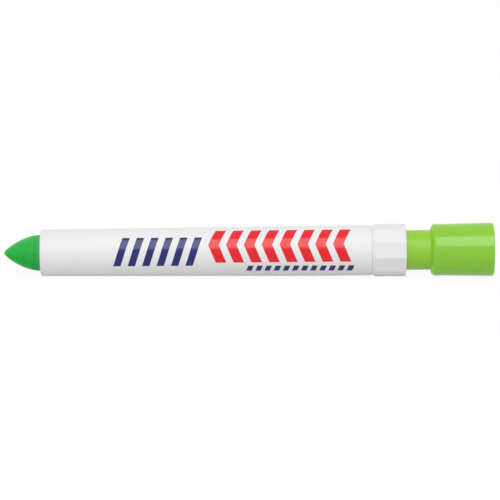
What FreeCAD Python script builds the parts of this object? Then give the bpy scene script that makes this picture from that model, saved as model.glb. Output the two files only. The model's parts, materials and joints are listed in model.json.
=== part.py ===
import FreeCAD, Part
import math
import os
import Sketcher

# Twist-up solid paint marker, lying on its side with its cap posted on the back.
# +X runs from the paint tip to the cap's rim, +Z is up, and the surface is at z = 0.
# Each piece has its own x from its front end; its Placement puts it on the marker's axis.

SIZES = [
    ("stick_reach", 11.65, "paint that stands out of the barrel"),
    ("barrel_length", 103.65, "white tube, mouth to rear face"),
    ("seam_gap", 0.2, "running gap between barrel and knob"),
    ("knob_length", 10.6, "ten-sided grip of the knob"),
    ("neck_length", 7.3, "cap nose left outside the knob"),
    ("shoulder_length", 1.7, "slope from the cap's nose to its skirt"),
    ("skirt_length", 18.4, "cap skirt, shoulder to rim"),
    ("barrel_bore_radius", 5.95, "bore that guides the stick"),
    ("barrel_wall", 1.35, "at the mouth, where the cap seats"),
    ("barrel_widening", 0.57, "how much the outside grows to the knob, in radius"),
    ("cap_seat_length", 8.0, "straight stretch at the mouth"),
    ("rear_straight_length", 16.0, "straight stretch before the knob"),
    ("barrel_edge_chamfer", 0.35, "outer rim of the mouth"),
    ("mouth_chamfer", 0.3, "inner rim of the mouth"),
    ("knob_seat_step", 0.95, "counterbore for the knob's spigot, outside the bore"),
    ("knob_seat_spare", 0.8, "counterbore left ahead of the spigot"),
    ("snap_groove_depth", 0.3, "ring groove in the counterbore"),
    ("snap_groove_width", 1.5, "along the axis"),
    ("snap_groove_inset", 2.6, "from the barrel's rear face to the groove"),
    ("key_count", 4, "ears of the carrier and their grooves"),
    ("key_width", 1.5, "ear of the carrier"),
    ("key_side_gap", 0.15, "each side of an ear in its groove"),
    ("key_groove_depth", 0.45, "floor of the grooves, outside the bore"),
    ("key_groove_inset", 10.0, "from the mouth to the grooves"),
    ("slide_gap", 0.1, "stick in the bore, and nose in the socket"),
    ("carrier_gap", 0.2, "carrier in the bore"),
    ("nose_depth", 0.33, "rounded point, along the axis"),
    ("nose_edge_radius", 0.77, "rounded point, where the flank begins"),
    ("flank_length", 9.45, "curved flank of the tip, from the point"),
    ("collar_rise", 0.34, "how much the collar grows, in radius"),
    ("flank_bend_radius", 19.2, "radius of the flank's curve"),
    ("collar_length", 3.4, "gentle slope from the flank to the full stick"),
    ("solid_tip_length", 16.5, "paint ahead of the spindle's hole"),
    ("retract_travel", 12.0, "how far the stick can be wound back"),
    ("stop_gap", 0.5, "left at each end of the travel"),
    ("cup_depth", 5.5, "stick held in the carrier"),
    ("cup_wall", 0.7, "carrier's cup"),
    ("cup_base", 2.5, "full-width base of the carrier"),
    ("nut_length", 9.0, "threaded length of the carrier"),
    ("nut_wall", 1.5, "around the nut's bore"),
    ("screw_core_radius", 2.1, "spindle between its threads"),
    ("thread_depth", 0.9, "height of the thread"),
    ("thread_lead", 6.0, "stick travel for one turn"),
    ("thread_root_width", 3.2, "ridge at the core"),
    ("thread_crest_width", 2.5, "ridge at its top"),
    ("thread_gap", 0.2, "between the two threads, all round"),
    ("thread_root_sink", 0.3, "ridges reach this far into their wall"),
    ("screw_point", 0.6, "chamfer of the spindle's front end"),
    ("thread_inset", 0.4, "least distance from the front end to the ridge"),
    ("screw_half_width", 1.6, "spindle's flats, from the axis"),
    ("flange_radius", 4.4, "thrust flange of the spindle"),
    ("flange_length", 1.0, "along the axis"),
    ("shank_width", 4.0, "square shank in the knob"),
    ("shank_length", 5.0, "along the axis"),
    ("shank_press", 0.02, "how much tighter the knob's square hole is, each side"),
    ("shank_end_gap", 0.3, "left behind the shank"),
    ("spigot_length", 6.5, "knob inside the barrel"),
    ("spigot_gap", 0.15, "spigot in its counterbore"),
    ("spigot_chamfer", 0.6, "front edge of the spigot"),
    ("bead_height", 0.3, "snap bead of the spigot"),
    ("bead_width", 1.0, "along the axis"),
    ("knob_side_count", 10, "flats of the grip"),
    ("knob_corner_rise", 0.35, "corners of the grip, above the barrel's rear"),
    ("knob_lead_step", 0.15, "front edge of the grip, below the barrel's rear"),
    ("knob_lead_length", 1.1, "slope at the grip's front edge"),
    ("knob_rear_round", 0.6, "rear edge of the grip"),
    ("socket_depth_spare", 0.3, "left ahead of the cap's nose"),
    ("socket_chamfer", 0.3, "mouth of the rear socket"),
    ("core_radius", 5.2, "hollow ahead of the socket"),
    ("hub_wall", 0.9, "boss round the shank's hole, at its corners and its end"),
    ("knob_front_wall", 1.8, "floor of the hollow"),
    ("nose_insert", 6.0, "cap nose in the knob"),
    ("neck_radius", 6.25, "outside of the cap's nose"),
    ("nose_chamfer", 0.7, "front edge of the cap's nose"),
    ("nose_end_wall", 1.0, "closed end of the cap"),
    ("nose_wall", 0.6, "side wall of the nose"),
    ("shoulder_wall", 0.45, "from the outer slope to the inner one, along the axis"),
    ("skirt_wall", 0.8, "skirt behind the shoulder"),
    ("rim_widening", 0.27, "how much the skirt grows to its rim, in radius"),
    ("skirt_straight_length", 5.0, "skirt before it widens"),
    ("shoulder_chamfer", 0.35, "outer edge of the shoulder, each side"),
    ("rim_chamfer", 0.3, "edges of the rim"),
    ("cap_fit_gap", 0.05, "cap skirt on the barrel's seat"),
    ("grip_bore_length", 9.5, "straight bore that grips the barrel"),
    ("mouth_relief", 0.22, "how much wider the bore is from there to its rim"),
]


# Two places closer than this are the same place
SAME_PLACE = 0.001


class Size:
    """A number of the model together with the formula that gives it from the sheet."""

    def __init__(self, value, formula):
        self.value = float(value)
        self.formula = formula

    def __add__(self, other):
        return joined(self, "+", other, self.value + number(other))

    def __radd__(self, other):
        return joined(other, "+", self, number(other) + self.value)

    def __sub__(self, other):
        return joined(self, "-", other, self.value - number(other))

    def __mul__(self, other):
        return joined(self, "*", other, self.value * number(other))

    def __truediv__(self, other):
        return joined(self, "/", other, self.value / number(other))

    def __neg__(self):
        return Size(-self.value, f"(-{self.formula})")

    def __mod__(self, other):
        return Size(self.value % number(other), f"mod({self.formula}; {formula(other)})")


def number(amount):
    return amount.value if isinstance(amount, Size) else float(amount)


def formula(amount):
    return amount.formula if isinstance(amount, Size) else repr(float(amount))


def joined(left, sign, right, value):
    return Size(value, f"({formula(left)} {sign} {formula(right)})")


def bind(feature, path, amount):
    """Sets a property from the sheet."""
    feature.setExpression(path, formula(amount))


document = FreeCAD.newDocument("paint_marker")
sheet = document.addObject("Spreadsheet::Sheet", "sizes")
for row, (alias, value, meaning) in enumerate(SIZES, start=1):
    sheet.set(f"A{row}", alias)
    sheet.set(f"B{row}", str(value))
    sheet.set(f"C{row}", meaning)
    sheet.setAlias(f"B{row}", alias)
document.recompute()
size = {alias: Size(value, f"sizes.{alias}") for alias, value, meaning in SIZES}

# Stations along the marker's axis, from the tip to the cap's rim
total_length = (
    size["stick_reach"] + size["barrel_length"] + size["seam_gap"] + size["knob_length"]
    + size["neck_length"] + size["shoulder_length"] + size["skirt_length"]
)
tip_x = -(total_length / 2)
mouth_x = tip_x + size["stick_reach"]
barrel_rear_x = mouth_x + size["barrel_length"]
grip_front_x = barrel_rear_x + size["seam_gap"]
spigot_front_x = grip_front_x - size["spigot_length"]
knob_rear_x = grip_front_x + size["knob_length"]
flange_front_x = spigot_front_x - size["flange_length"]
nut_front_x = flange_front_x - size["stop_gap"] - size["retract_travel"] - size["nut_length"]
cup_front_x = nut_front_x - size["cup_depth"]
hole_front_x = tip_x + size["solid_tip_length"]
screw_front_x = hole_front_x + size["retract_travel"] + size["stop_gap"]
nose_front_x = knob_rear_x - size["nose_insert"]

# Radii that follow the bore, from the inside out
bore_radius = size["barrel_bore_radius"]
stick_radius = bore_radius - size["slide_gap"]
key_floor_radius = bore_radius + size["key_groove_depth"]
knob_seat_radius = bore_radius + size["knob_seat_step"]
barrel_front_radius = bore_radius + size["barrel_wall"]
barrel_rear_radius = barrel_front_radius + size["barrel_widening"]
grip_corner_radius = barrel_rear_radius + size["knob_corner_rise"]
grip_front_radius = barrel_rear_radius - size["knob_lead_step"]
cap_bore_radius = barrel_front_radius + size["cap_fit_gap"]
skirt_radius = cap_bore_radius + size["skirt_wall"]
rim_radius = skirt_radius + size["rim_widening"]

# The two threads: the nut's ridge stays in the middle of the spindle's groove
screw_crest_radius = size["screw_core_radius"] + size["thread_depth"]
nut_bore_radius = screw_crest_radius + size["thread_gap"]
ridge_tip_radius = size["screw_core_radius"] + size["thread_gap"]
flank_spread = (size["thread_root_width"] - size["thread_crest_width"]) / size["thread_depth"] / 2
ridge_sink_radius = nut_bore_radius + size["thread_root_sink"]


def nut_ridge_half_width(radius):
    """Half the width of the nut's ridge at a radius: the spindle's groove there, less the gap."""
    groove_half_width = (size["thread_lead"] - size["thread_root_width"]) / 2
    return groove_half_width + flank_spread * (radius - size["screw_core_radius"]) - size["thread_gap"]


ridge_offset = nut_ridge_half_width(ridge_sink_radius)
first_ridge = size["thread_inset"] + size["thread_root_width"] / 2
nut_ahead = nut_front_x - screw_front_x + ridge_offset - first_ridge
ridge_start = first_ridge + (nut_ahead - size["thread_lead"] / 2) % size["thread_lead"]


def origin_plane(body, role):
    return next(f for f in body.Origin.OriginFeatures if f.Role == role)


def arc_between(start, end, radius):
    """Arc from start to end; a positive radius turns clockwise, a negative one the other way."""
    x1, y1 = start
    x2, y2 = end
    chord = math.hypot(x2 - x1, y2 - y1)
    depth = math.sqrt(radius**2 - chord**2 / 4)
    side = 1 if radius > 0 else -1
    centre_x = (x1 + x2) / 2 + side * depth * (y2 - y1) / chord
    centre_y = (y1 + y2) / 2 - side * depth * (x2 - x1) / chord
    circle = Part.Circle(
        FreeCAD.Vector(centre_x, centre_y, 0), FreeCAD.Vector(0, 0, 1), abs(radius)
    )
    start_angle = math.atan2(y1 - centre_y, x1 - centre_x)
    end_angle = math.atan2(y2 - centre_y, x2 - centre_x)
    if radius > 0:
        start_angle, end_angle = end_angle, start_angle
    return Part.ArcOfCircle(circle, start_angle, end_angle)


def hold(sketch, edge, point, x, y):
    """Holds a corner of a sketch at x and y, each a size or a plain 0."""
    for kind, across, place in (("DistanceX", -2, x), ("DistanceY", -1, y)):
        if isinstance(place, Size):
            index = sketch.addConstraint(
                Sketcher.Constraint(kind, -1, 1, edge, point, place.value)
            )
            bind(sketch, f"Constraints[{index}]", place)
        else:
            sketch.addConstraint(Sketcher.Constraint("PointOnObject", edge, point, across))


def outline(body, name, role, corners, along=None):
    """Closed outline on an origin plane, along its normal by a size.

    A corner is (x, y), or (x, y, radius) where an arc leads to it from the corner before.
    """
    sketch = body.newObject("Sketcher::SketchObject", name)
    sketch.AttachmentSupport = [(origin_plane(body, role), "")]
    sketch.MapMode = "FlatFace"
    if along is not None:
        bind(sketch, "AttachmentOffset.Base.z", along)
    places = [(number(corner[0]), number(corner[1])) for corner in corners]
    ends = []
    for i, corner in enumerate(corners):
        before = places[i - 1]
        if len(corner) == 2:
            start = FreeCAD.Vector(*before, 0)
            end = FreeCAD.Vector(*places[i], 0)
            edge = sketch.addGeometry(Part.LineSegment(start, end), False)
            ends.append((edge, 1, 2))
            continue
        bend = corner[2]
        edge = sketch.addGeometry(arc_between(before, places[i], number(bend)), False)
        clockwise = number(bend) > 0
        ends.append((edge, 2, 1) if clockwise else (edge, 1, 2))
        index = sketch.addConstraint(Sketcher.Constraint("Radius", edge, abs(number(bend))))
        bind(sketch, f"Constraints[{index}]", bend if clockwise else -bend)
    for i, corner in enumerate(corners):
        edge, _, end = ends[i]
        after, start, _ = ends[(i + 1) % len(ends)]
        sketch.addConstraint(Sketcher.Constraint("Coincident", edge, end, after, start))
        hold(sketch, edge, end, corner[0], corner[1])
    document.recompute()
    return sketch


def new_body(name, front_x):
    """A piece whose own x = 0 lies at front_x on the marker's axis."""
    body = document.addObject("PartDesign::Body", name)
    body.Label = name
    bind(body, "Placement.Base.x", front_x)
    bind(body, "Placement.Base.z", rim_radius)
    return body


def revolved(body, name, kind, corners):
    """A turned form of the piece, or a turned cut, about its axis."""
    sketch = outline(body, name + "_outline", "XY_Plane", corners)
    feature = body.newObject(kind, name)
    feature.Profile = sketch
    feature.ReferenceAxis = (origin_plane(body, "X_Axis"), [""])
    feature.Angle = 360
    document.recompute()
    return feature


def helical(body, name, corners, height):
    """A left-hand ridge that starts with its outline on the +Y side."""
    sketch = outline(body, name + "_outline", "XY_Plane", corners)
    feature = body.newObject("PartDesign::AdditiveHelix", name)
    feature.Profile = sketch
    feature.ReferenceAxis = (origin_plane(body, "X_Axis"), [""])
    feature.Mode = "pitch-height-angle"
    feature.LeftHanded = True
    bind(feature, "Pitch", size["thread_lead"])
    bind(feature, "Height", height)
    document.recompute()
    return feature


def extruded(body, name, kind, corners, along, length):
    """A pad or pocket of an outline on the YZ plane, moved along x and drawn towards +X."""
    sketch = outline(body, name + "_outline", "YZ_Plane", corners, along)
    feature = body.newObject(kind, name)
    feature.Profile = sketch
    feature.Reversed = kind == "PartDesign::Pocket"
    bind(feature, "Length", length)
    document.recompute()
    return feature


def repeated(body, name, feature, count):
    """Copies of a feature, evenly spaced round the axis."""
    pattern = body.newObject("PartDesign::PolarPattern", name)
    pattern.Originals = [feature]
    pattern.Axis = (origin_plane(body, "X_Axis"), [""])
    pattern.Angle = 360
    bind(pattern, "Occurrences", count)
    body.Tip = pattern
    document.recompute()
    return pattern


def box_corners(half_width, low, high):
    """Corners of a rectangle on the YZ plane, centred on z and from low to high in y."""
    return [(low, -half_width), (high, -half_width), (high, half_width), (low, half_width)]


def make_barrel():
    body = new_body("barrel", mouth_x)
    length = size["barrel_length"]
    edge = size["barrel_edge_chamfer"]
    bore = bore_radius
    seat = knob_seat_radius
    seat_x = length - size["spigot_length"] - size["knob_seat_spare"] + size["seam_gap"]
    groove_rear = length - size["snap_groove_inset"]
    groove_front = groove_rear - size["snap_groove_width"]
    groove = seat + size["snap_groove_depth"]
    chamfer = size["mouth_chamfer"]
    revolved(body, "tube", "PartDesign::Revolution", [
        (0, bore + chamfer),
        (0, barrel_front_radius - edge),
        (edge, barrel_front_radius),
        (size["cap_seat_length"], barrel_front_radius),
        (length - size["rear_straight_length"], barrel_rear_radius),
        (length, barrel_rear_radius),
        (length, seat),
        (groove_rear, seat),
        (groove_rear, groove),
        (groove_front, groove),
        (groove_front, seat),
        (seat_x, seat),
        (seat_x, bore),
        (chamfer, bore),
    ])
    key_groove = extruded(
        body, "key_groove", "PartDesign::Pocket",
        box_corners(
            size["key_width"] / 2 + size["key_side_gap"],
            stick_radius,
            key_floor_radius,
        ),
        size["key_groove_inset"],
        seat_x - size["key_groove_inset"],
    )
    repeated(body, "key_grooves", key_groove, size["key_count"])
    return body


def make_stick():
    body = new_body("paint_stick", tip_x)
    tail = bore_radius - size["carrier_gap"] - size["cup_wall"]
    depth = size["nose_depth"]
    nose_edge = size["nose_edge_radius"]
    nose_bend = (depth * depth + nose_edge * nose_edge) / depth / 2
    flank = size["flank_length"]
    hole = screw_crest_radius + size["thread_gap"] + size["slide_gap"]
    tail_front = cup_front_x - tip_x
    tail_rear = nut_front_x - tip_x
    revolved(body, "stick", "PartDesign::Revolution", [
        (0, 0),
        (depth, nose_edge, nose_bend),
        (flank, stick_radius - size["collar_rise"], size["flank_bend_radius"]),
        (flank + size["collar_length"], stick_radius),
        (tail_front, stick_radius),
        (tail_front, tail),
        (tail_rear, tail),
        (tail_rear, hole),
        (size["solid_tip_length"], hole),
        (size["solid_tip_length"], 0),
    ])
    return body


def make_carrier():
    body = new_body("stick_carrier", cup_front_x)
    outside = bore_radius - size["carrier_gap"]
    inside = outside - size["cup_wall"]
    cup = size["cup_depth"]
    base_rear = cup + size["cup_base"]
    rear = cup + size["nut_length"]
    bore = nut_bore_radius
    revolved(body, "cup", "PartDesign::Revolution", [
        (0, inside),
        (0, outside),
        (base_rear, outside),
        (base_rear, bore + size["nut_wall"]),
        (rear, bore + size["nut_wall"]),
        (rear, bore),
        (cup, bore),
        (cup, inside),
    ])
    ear = extruded(
        body, "ear", "PartDesign::Pad",
        box_corners(
            size["key_width"] / 2,
            outside - size["cup_wall"] / 2,
            key_floor_radius - size["slide_gap"],
        ),
        None,
        base_rear,
    )
    repeated(body, "ears", ear, size["key_count"])
    centre = cup + ridge_offset
    tip_half_width = nut_ridge_half_width(ridge_tip_radius)
    helical(body, "nut_thread", [
        (cup, ridge_sink_radius),
        (centre + ridge_offset, ridge_sink_radius),
        (centre + tip_half_width, ridge_tip_radius),
        (centre - tip_half_width, ridge_tip_radius),
    ], size["nut_length"] - ridge_offset * 2)
    return body


def make_screw():
    body = new_body("lead_screw", screw_front_x)
    core = size["screw_core_radius"]
    crest = screw_crest_radius
    rod = flange_front_x - screw_front_x
    point = size["screw_point"]
    revolved(body, "rod", "PartDesign::Revolution", [
        (0, 0),
        (0, core - point),
        (point, core),
        (rod, core),
        (rod, size["flange_radius"]),
        (rod + size["flange_length"], size["flange_radius"]),
        (rod + size["flange_length"], 0),
    ])
    sink = size["thread_root_sink"]
    root_half = size["thread_root_width"] / 2
    crest_half = size["thread_crest_width"] / 2
    helical(body, "thread", [
        (ridge_start - root_half - flank_spread * sink, core - sink),
        (ridge_start + root_half + flank_spread * sink, core - sink),
        (ridge_start + crest_half, crest),
        (ridge_start - crest_half, crest),
    ], rod - ridge_start - root_half - size["thread_inset"])
    for side, name in ((1, "upper_flat"), (-1, "lower_flat")):
        near = size["screw_half_width"] * side
        far = (crest + size["thread_gap"]) * side
        extruded(
            body, name, "PartDesign::Pocket",
            box_corners(crest + size["thread_gap"], near, far),
            None,
            rod,
        )
    half = size["shank_width"] / 2
    extruded(
        body, "shank", "PartDesign::Pad", box_corners(half, -half, half),
        rod + size["flange_length"], size["shank_length"],
    )
    return body


def polygon(body, name, corner_radius, along):
    """Regular outline on the YZ plane, with a flat at its top and bottom."""
    sketch = body.newObject("Sketcher::SketchObject", name)
    sketch.AttachmentSupport = [(origin_plane(body, "YZ_Plane"), "")]
    sketch.MapMode = "FlatFace"
    bind(sketch, "AttachmentOffset.Base.z", along)
    radius = number(corner_radius)
    around = Part.Circle(FreeCAD.Vector(0, 0, 0), FreeCAD.Vector(0, 0, 1), radius)
    circle = sketch.addGeometry(around, True)
    sketch.addConstraint(Sketcher.Constraint("Coincident", circle, 3, -1, 1))
    index = sketch.addConstraint(Sketcher.Constraint("Radius", circle, radius))
    bind(sketch, f"Constraints[{index}]", corner_radius)
    count = int(number(size["knob_side_count"]))
    turns = [2 * math.pi * i / count for i in range(count)]
    corners = [FreeCAD.Vector(radius * math.cos(a), radius * math.sin(a), 0) for a in turns]
    sides = [
        sketch.addGeometry(Part.LineSegment(corners[i - 1], corners[i]), False)
        for i in range(count)
    ]
    for i, side in enumerate(sides):
        sketch.addConstraint(Sketcher.Constraint("Coincident", sides[i - 1], 2, side, 1))
        sketch.addConstraint(Sketcher.Constraint("PointOnObject", side, 2, circle))
        if i > 0:
            sketch.addConstraint(Sketcher.Constraint("Equal", sides[0], side))
    sketch.addConstraint(Sketcher.Constraint("PointOnObject", sides[0], 2, -1))
    document.recompute()
    return sketch


def trimmed(body, name, base, edges, **amounts):
    """Fillet (Radius=) or chamfer (Size=) of the edges of a feature that a test picks."""
    names = [f"Edge{i}" for i, edge in enumerate(base.Shape.Edges, start=1) if edges(edge)]
    kind = "PartDesign::Fillet" if "Radius" in amounts else "PartDesign::Chamfer"
    feature = body.newObject(kind, name)
    feature.Base = (base, names)
    for path, amount in amounts.items():
        bind(feature, path, amount)
    document.recompute()
    return feature


def ring_at(x, radius):
    """Test for the round edge at a place along the piece."""
    def is_ring(edge):
        curve = edge.Curve
        return (
            curve.TypeId == "Part::GeomCircle"
            and abs(curve.Center.x - number(x)) < SAME_PLACE
            and abs(curve.Radius - number(radius)) < SAME_PLACE
        )
    return is_ring


def make_knob():
    body = new_body("twist_knob", spigot_front_x)
    spigot = knob_seat_radius - size["spigot_gap"]
    bead = spigot + size["bead_height"]
    grip_x = size["spigot_length"]
    rear_x = grip_x + size["knob_length"]
    chamfer = size["spigot_chamfer"]
    bead_x = (
        grip_x - size["seam_gap"] - size["snap_groove_inset"] - size["snap_groove_width"] / 2
    )
    bead_half = size["bead_width"] / 2
    socket = size["neck_radius"] + size["slide_gap"]
    step_x = rear_x - size["nose_insert"] - size["socket_depth_spare"]
    revolved(body, "spigot", "PartDesign::Revolution", [
        (0, 0),
        (0, spigot - chamfer),
        (chamfer, spigot),
        (bead_x - bead_half, spigot),
        (bead_x, bead),
        (bead_x + bead_half, spigot),
        (step_x, spigot),
        (step_x, 0),
    ])
    grip = body.newObject("PartDesign::Pad", "grip")
    grip.Profile = polygon(body, "grip_outline", grip_corner_radius, grip_x)
    bind(grip, "Length", size["knob_length"])
    document.recompute()
    rear_edge = number(rear_x)
    half_side = math.pi / number(size["knob_side_count"])
    inner_edge = number(grip_corner_radius) * math.cos(half_side)

    def on_rear_edge(edge):
        box = edge.BoundBox
        middle = edge.valueAt((edge.FirstParameter + edge.LastParameter) / 2)
        return (
            abs(box.XMin - rear_edge) < SAME_PLACE
            and abs(box.XMax - rear_edge) < SAME_PLACE
            and abs(math.hypot(middle.y, middle.z) - inner_edge) < SAME_PLACE
        )

    trimmed(body, "rear_round", grip, on_rear_edge, Radius=size["knob_rear_round"])
    lead_x = grip_x + size["knob_lead_length"] * 2
    lead_top = grip_corner_radius * 2 - grip_front_radius
    revolved(body, "front_slope", "PartDesign::Groove", [
        (grip_x, grip_front_radius),
        (lead_x, lead_top),
        (grip_x, lead_top),
    ])
    hub = size["shank_width"] * math.sqrt(0.5) + size["hub_wall"]
    hub_x = size["shank_length"] + size["shank_end_gap"] + size["hub_wall"]
    chamfer = size["socket_chamfer"]
    revolved(body, "rear_socket", "PartDesign::Groove", [
        (rear_x, 0),
        (rear_x, socket + chamfer),
        (rear_x - chamfer, socket),
        (step_x, socket),
        (step_x, size["core_radius"]),
        (size["knob_front_wall"], size["core_radius"]),
        (size["knob_front_wall"], hub),
        (hub_x, hub),
        (hub_x, 0),
    ])
    half = size["shank_width"] / 2 - size["shank_press"]
    extruded(
        body, "shank_hole", "PartDesign::Pocket", box_corners(half, -half, half),
        None,
        size["shank_length"] + size["shank_end_gap"],
    )
    return body


def make_cap():
    body = new_body("cap", nose_front_x)
    neck = size["neck_radius"]
    neck_x = size["nose_insert"] + size["neck_length"]
    skirt_x = neck_x + size["shoulder_length"]
    rim_x = skirt_x + size["skirt_length"]
    nose_bore = neck - size["nose_wall"]
    seat_x = skirt_x + size["shoulder_wall"]
    grip_x = seat_x + size["grip_bore_length"]
    mouth = cap_bore_radius + size["mouth_relief"]
    edge = size["rim_chamfer"]
    shell = revolved(body, "shell", "PartDesign::Revolution", [
        (0, 0),
        (0, neck - size["nose_chamfer"]),
        (size["nose_chamfer"], neck),
        (neck_x, neck),
        (skirt_x, skirt_radius),
        (skirt_x + size["skirt_straight_length"], skirt_radius),
        (rim_x - edge, rim_radius),
        (rim_x, rim_radius - edge),
        (rim_x, mouth + edge),
        (rim_x - edge, mouth),
        (grip_x, mouth),
        (grip_x, cap_bore_radius),
        (seat_x, cap_bore_radius),
        (neck_x + size["shoulder_wall"], nose_bore),
        (size["nose_end_wall"], nose_bore),
        (size["nose_end_wall"], 0),
    ])
    shoulder = ring_at(skirt_x, skirt_radius)
    trimmed(body, "shoulder_edge", shell, shoulder, Size=size["shoulder_chamfer"])
    return body


def problems_of(bodies):
    found = []
    for thing in document.Objects:
        if "Invalid" in thing.State or "Error" in thing.State:
            found.append(f"{thing.Name}: {thing.State}")
    for body in bodies:
        if body.Shape.isNull() or not body.Shape.isValid():
            found.append(f"{body.Label}: no valid shape")
        elif len(body.Shape.Solids) != 1:
            found.append(f"{body.Label}: {len(body.Shape.Solids)} solids")
    return found


pieces = [make_barrel(), make_stick(), make_carrier(), make_screw(), make_knob(), make_cap()]
document.recompute()
problems = problems_of(pieces)
if problems:
    raise RuntimeError("; ".join(problems))

os.makedirs("parts", exist_ok=True)
for piece in pieces:
    piece.Shape.exportStep(f"parts/{piece.Label}.step")
    print(piece.Label, round(piece.Shape.Volume, 2), "mm3")
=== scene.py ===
import json
import math

import bmesh
import bpy
from bpy.props import FloatProperty, FloatVectorProperty, IntProperty, PointerProperty
from bpy.types import Operator, Panel, PropertyGroup
from mathutils import Matrix, Vector, noise


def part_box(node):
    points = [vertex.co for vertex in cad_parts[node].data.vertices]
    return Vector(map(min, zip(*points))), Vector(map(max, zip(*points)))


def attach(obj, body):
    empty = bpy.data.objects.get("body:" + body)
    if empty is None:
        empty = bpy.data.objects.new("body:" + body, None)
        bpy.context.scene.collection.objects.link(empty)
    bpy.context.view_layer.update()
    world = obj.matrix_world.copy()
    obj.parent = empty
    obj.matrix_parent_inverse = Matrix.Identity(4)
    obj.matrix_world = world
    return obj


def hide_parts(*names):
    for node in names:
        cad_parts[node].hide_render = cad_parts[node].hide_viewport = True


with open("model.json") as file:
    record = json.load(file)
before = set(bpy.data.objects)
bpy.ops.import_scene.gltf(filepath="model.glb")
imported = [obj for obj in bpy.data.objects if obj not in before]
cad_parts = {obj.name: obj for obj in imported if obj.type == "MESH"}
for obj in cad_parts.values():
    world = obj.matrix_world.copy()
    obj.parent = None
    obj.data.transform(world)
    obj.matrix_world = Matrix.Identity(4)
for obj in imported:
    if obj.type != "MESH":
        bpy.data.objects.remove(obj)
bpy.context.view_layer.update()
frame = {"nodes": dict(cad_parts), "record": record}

bl_info = {
    "name": "Solid Paint Marker",
    "version": (1, 0, 0),
    "blender": (4, 5, 0),
    "location": "3D View > Sidebar > Paint Marker",
    "description": "Dresses the twist-up solid paint marker and sets up its studio",
    "category": "Add Mesh",
}

MM = 0.001

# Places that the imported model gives
MOUNTS = {mount["name"]: mount for mount in frame["record"]["mounts"]}
AXIS_HEIGHT = MOUNTS["cap_seat"]["pos_m"][2]
BARREL_FRONT_RADIUS = MOUNTS["cap_seat"]["dims"]["r_mm"] * MM
CAP_BORE_RADIUS = MOUNTS["cap_mouth"]["dims"]["r_mm"] * MM
CAP_GRIP_LENGTH = MOUNTS["cap_mouth"]["dims"]["length_mm"] * MM
BARREL_LOW, BARREL_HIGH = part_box("barrel")
KNOB_LOW, KNOB_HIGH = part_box("twist_knob")
CAP_LOW, CAP_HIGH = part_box("cap")
STICK_LOW, STICK_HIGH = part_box("paint_stick")
BARREL_REAR_RADIUS = max(BARREL_HIGH.y, BARREL_HIGH.z - AXIS_HEIGHT)
KNOB_CORNER_RADIUS = max(KNOB_HIGH.y, KNOB_HIGH.z - AXIS_HEIGHT)
CAP_RIM_RADIUS = max(CAP_HIGH.y, AXIS_HEIGHT - CAP_LOW.z)
STICK_RADIUS = max(STICK_HIGH.y, STICK_HIGH.z - AXIS_HEIGHT)

# Fineness of the turned meshes: round the axis, along a rounding, and its flat supports
ROUND_STEPS = 180
EASE_STEP = math.radians(14)
SUPPORT = 0.07 * MM
SAME_PLACE = 0.001 * MM
CREASE_ANGLE = math.radians(32)

# Fineness of the grip's front slope, which runs on past its join, and of its rear edge
LEAD_STEPS = 12
LEAD_OVERRUN = 1.15
REAR_STEPS = 7

# Places round a corner of the grip, as shares of its rounding
CORNER_SHARES = (-2.2, -1.0, -0.67, -0.33, 0.0, 0.33, 0.67, 1.0, 2.2)

# Fineness of the paint stick's point, flank and collar
NOSE_STEPS = 6
FLANK_STEPS = 34
COLLAR_STEPS = 12

# Hollows of the cast wax: their mean depth, two sizes of noise, and how fast they fade out
HOLLOW_MEAN = 0.5
HOLLOW_SHARE = 0.35
DIMPLE_SHARE = 0.3
DIMPLE_RATIO = 2.7
DIMPLE_SHIFT = Vector((5, 3, 1))
HOLLOW_FADE = 2

# Moulded plastic: how far its roughness varies, and the depth of its grain
GLOSS_SPREAD = 0.12
OUTER_GRAIN_DEPTH = 0.003 * MM
CAP_GRAIN_DEPTH = 0.002 * MM
CARRIER_GRAIN_DEPTH = 0.005 * MM
SCREW_GRAIN_DEPTH = 0.004 * MM

# Solid paint: strength of its streaks, its roughness, its grain, and the painted shade at the mouth
STREAK_GAIN = 2.2
WAX_ROUGHNESS = (0.36, 0.62)
WAX_GRAIN_DEPTH = 0.07 * MM
MOUTH_SHADE_FADES_FROM = 0.7
MOUTH_SHADE_FADES_TO = 1.5
MOUTH_SHADE_COVER = 0.85

# Ink: where it is thin, the barrel shows through
THIN_INK_GAIN = 1.12
THIN_INK_LIFT = 0.004
INK_ROUGHNESS = (0.15, 0.22)
INK_GRAIN_DEPTH = 0.0015 * MM

# Floor's paper, as light and other pieces see it
PAPER = (0.76, 0.76, 0.76, 1)
PAPER_SHADE = (0.75, 0.75, 0.75, 1)
WHITE = (1, 1, 1, 1)


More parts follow.
